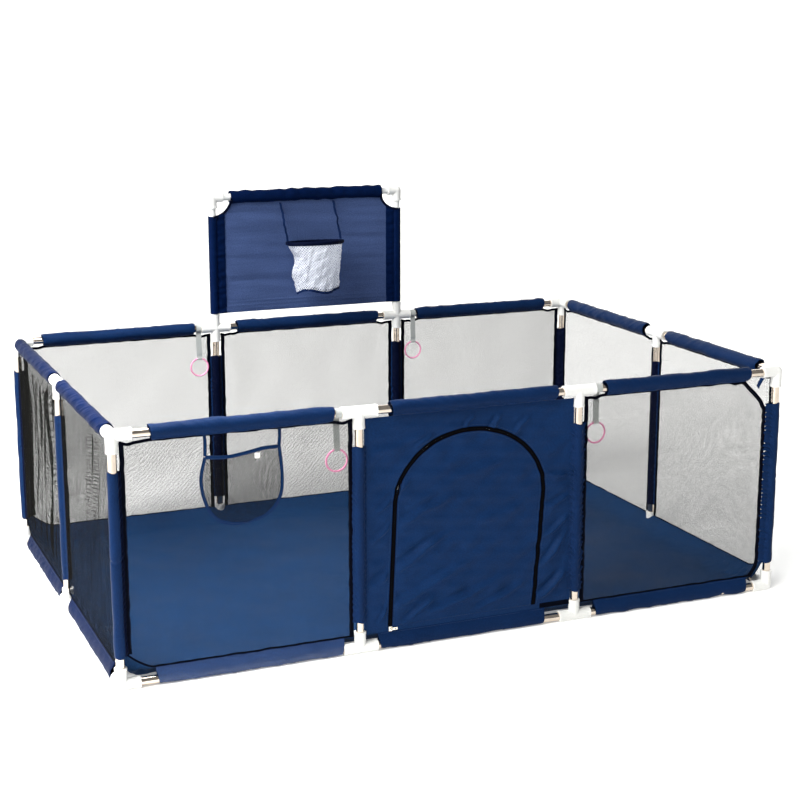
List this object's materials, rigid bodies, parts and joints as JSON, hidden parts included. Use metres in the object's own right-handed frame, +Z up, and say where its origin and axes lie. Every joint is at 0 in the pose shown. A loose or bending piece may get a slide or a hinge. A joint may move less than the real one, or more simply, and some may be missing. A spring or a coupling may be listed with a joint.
{
  "type": "travel play yard",
  "caption": "Rectangular tube-frame play pen with white connectors, navy cloth and black mesh walls, an arched zip door, pull-up rings and a rear basketball board.",
  "frame": {"origin": "on the floor, at the middle of the footprint", "axes": "+X along the long side to the right seen from the door, +Y from the door side to the basketball board side, +Z up"},
  "size_m": [1.9138, 1.2889, 1.0717],
  "materials": {
    "white_plastic": "moulded semi-gloss white plastic",
    "white_tube": "white powder-coated tube",
    "steel_tube": "polished steel tube",
    "navy_cloth": "coated navy oxford weave",
    "black_mesh": "fine black knitted mesh",
    "zip_black": "black woven zip tape with coil teeth",
    "zip_metal": "plated zinc",
    "grey_webbing": "pale grey woven webbing",
    "pink_plastic": "glossy pink plastic",
    "white_net": "soft white knitted net"
  },
  "bodies": {
    "frame": {"corner_connectors_top": "white_plastic", "tee_connectors_top": "white_plastic", "cross_connectors_rear": "white_plastic", "corner_connectors_bottom": "white_plastic", "tee_connectors_bottom": "white_plastic", "front_top_rails": "steel_tube", "front_bottom_rails": "steel_tube", "rear_top_rails": "steel_tube", "rear_bottom_rails": "steel_tube", "left_top_rails": "steel_tube", "left_bottom_rails": "steel_tube", "right_top_rails": "steel_tube", "right_bottom_rails": "steel_tube", "corner_posts": "steel_tube", "front_posts": "steel_tube", "rear_posts": "steel_tube", "side_posts": "steel_tube", "front_top_sleeves": "navy_cloth", "rear_top_sleeves": "navy_cloth", "left_top_sleeves": "navy_cloth", "right_top_sleeves": "navy_cloth", "front_bottom_sleeves": "navy_cloth", "rear_bottom_sleeves": "navy_cloth", "left_bottom_sleeves": "navy_cloth", "right_bottom_sleeves": "navy_cloth", "corner_post_sleeves": "navy_cloth", "front_post_sleeves": "navy_cloth", "rear_post_sleeves": "navy_cloth", "side_post_sleeves": "navy_cloth", "front_left_mesh": "black_mesh", "front_right_mesh": "black_mesh", "rear_mesh": "black_mesh", "left_mesh": "black_mesh", "right_mesh": "black_mesh", "floor_sheet": "navy_cloth", "door_panel": "navy_cloth", "zip_tape_panel": "zip_black", "mesh_pocket": "black_mesh"},
    "door": {"door_flap": "navy_cloth", "zip_tape_flap": "zip_black"},
    "zip_slider": {"zip_slider": "zip_metal"},
    "zip_pull": {"zip_pull": "zip_metal"},
    "board": {"board_uprights": "white_tube", "board_crossbar": "white_tube", "board_elbows": "white_plastic", "board_cloth": "navy_cloth", "hoop_tapes": "navy_cloth"},
    "hoop": {"hoop_rim": "navy_cloth", "hoop_net": "white_net"},
    "strap_front_left": {"grab_strap_front_left": "grey_webbing"},
    "ring_front_left": {"grab_ring_front_left": "pink_plastic"},
    "strap_front_right": {"grab_strap_front_right": "grey_webbing"},
    "ring_front_right": {"grab_ring_front_right": "pink_plastic"},
    "strap_rear_left": {"grab_strap_rear_left": "grey_webbing"},
    "ring_rear_left": {"grab_ring_rear_left": "pink_plastic"},
    "strap_rear_right": {"grab_strap_rear_right": "grey_webbing"},
    "ring_rear_right": {"grab_ring_rear_right": "pink_plastic"}
  },
  "joints": [
    {"name": "door_open", "type": "hinge", "parent": "frame", "child": "door", "pos_m": [0, -0.627, 0.06], "axis": [1, 0, 0], "range_deg": [0, 94]},
    {"name": "zip_run", "type": "slide", "parent": "frame", "child": "zip_slider", "axis": [0.0437, 0, 0.999], "range_m": [0, 0.31]},
    {"name": "pull_swing", "type": "hinge", "parent": "zip_slider", "child": "zip_pull", "pos_m": [-0.227, -0.6305, 0.053], "axis": [0, 0, -1], "range_deg": [0, 170]},
    {"name": "board_lift", "type": "slide", "parent": "frame", "child": "board", "axis": [0, 0, 1], "range_m": [0, 0.06]},
    {"name": "hoop_fold", "type": "hinge", "parent": "board", "child": "hoop", "pos_m": [0, 0.6179, 0.9], "axis": [-1, 0, 0], "range_deg": [0, 75], "deforming": ["hoop_tapes"]},
    {"name": "strap_swing_front_left", "type": "hinge", "parent": "frame", "child": "strap_front_left", "pos_m": [-0.3695, -0.625, 0.6392], "axis": [1, 0, 0], "range_deg": [0, 150]},
    {"name": "ring_swing_front_left", "type": "hinge", "parent": "strap_front_left", "child": "ring_front_left", "pos_m": [-0.3695, -0.6175, 0.5452], "axis": [1, 0, 0], "range_deg": [0, 100]},
    {"name": "strap_swing_front_right", "type": "hinge", "parent": "frame", "child": "strap_front_right", "pos_m": [0.3695, -0.625, 0.6392], "axis": [1, 0, 0], "range_deg": [0, 150]},
    {"name": "ring_swing_front_right", "type": "hinge", "parent": "strap_front_right", "child": "ring_front_right", "pos_m": [0.3695, -0.6175, 0.5452], "axis": [1, 0, 0], "range_deg": [0, 100]},
    {"name": "strap_swing_rear_left", "type": "hinge", "parent": "frame", "child": "strap_rear_left", "pos_m": [-0.3695, 0.625, 0.6392], "axis": [-1, 0, 0], "range_deg": [0, 150]},
    {"name": "ring_swing_rear_left", "type": "hinge", "parent": "strap_rear_left", "child": "ring_rear_left", "pos_m": [-0.3695, 0.6175, 0.5452], "axis": [-1, 0, 0], "range_deg": [0, 100]},
    {"name": "strap_swing_rear_right", "type": "hinge", "parent": "frame", "child": "strap_rear_right", "pos_m": [0.3695, 0.625, 0.6392], "axis": [-1, 0, 0], "range_deg": [0, 150]},
    {"name": "ring_swing_rear_right", "type": "hinge", "parent": "strap_rear_right", "child": "ring_rear_right", "pos_m": [0.3695, 0.6175, 0.5452], "axis": [-1, 0, 0], "range_deg": [0, 100]}
  ]
}
